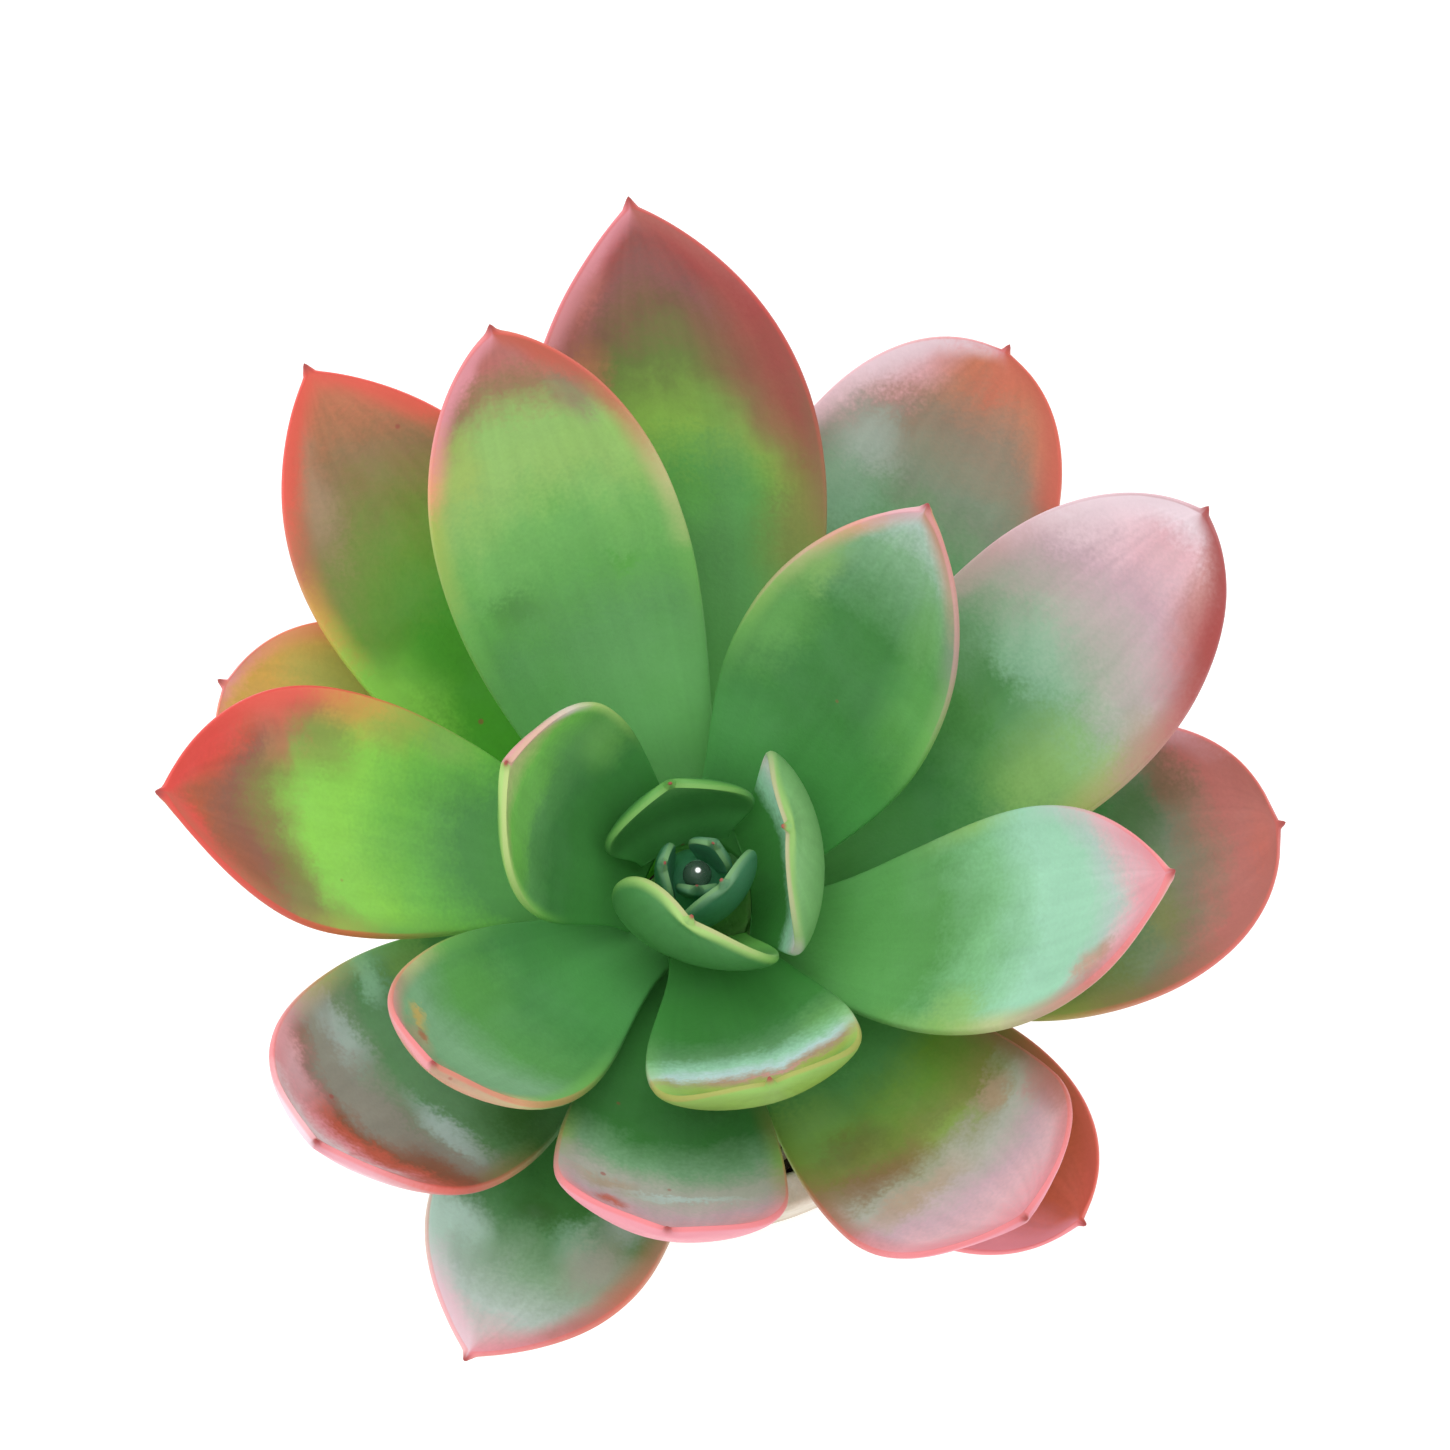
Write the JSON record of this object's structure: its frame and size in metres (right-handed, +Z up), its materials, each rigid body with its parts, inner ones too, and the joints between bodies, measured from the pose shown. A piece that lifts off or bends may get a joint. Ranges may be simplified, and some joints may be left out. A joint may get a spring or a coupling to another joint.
{
  "type": "potted echeveria",
  "caption": "Potted succulent: an open rosette of broad fleshy pointed leaves on a short stem, rooted in soil in a plain tapered pale clay pot with a rim band.",
  "frame": {"origin": "middle of the underside of the pot's foot", "axes": "+Z up along the pot's axis; -Y towards the side the picture looks from, at a steep angle from above; +X to the right in the picture"},
  "size_m": [0.128, 0.1312, 0.1231],
  "materials": {
    "clay": "matte",
    "earth": "matte",
    "bark": "matte",
    "green_leaf": "satin",
    "blush_leaf": "satin"
  },
  "bodies": {
    "root": {"pot": "clay", "soil": "earth", "stem": "bark", "leaf_01": "blush_leaf", "leaf_02": "blush_leaf", "leaf_03": "blush_leaf", "leaf_04": "blush_leaf", "leaf_05": "blush_leaf", "leaf_06": "blush_leaf", "leaf_07": "blush_leaf", "leaf_08": "blush_leaf", "leaf_09": "blush_leaf", "leaf_10": "blush_leaf", "leaf_11": "blush_leaf", "leaf_12": "blush_leaf", "leaf_13": "green_leaf", "leaf_14": "green_leaf", "leaf_15": "green_leaf", "leaf_16": "green_leaf", "leaf_17": "green_leaf", "leaf_18": "green_leaf", "leaf_19": "green_leaf", "leaf_20": "green_leaf", "leaf_21": "green_leaf", "heart": "green_leaf"}
  },
  "joints": []
}
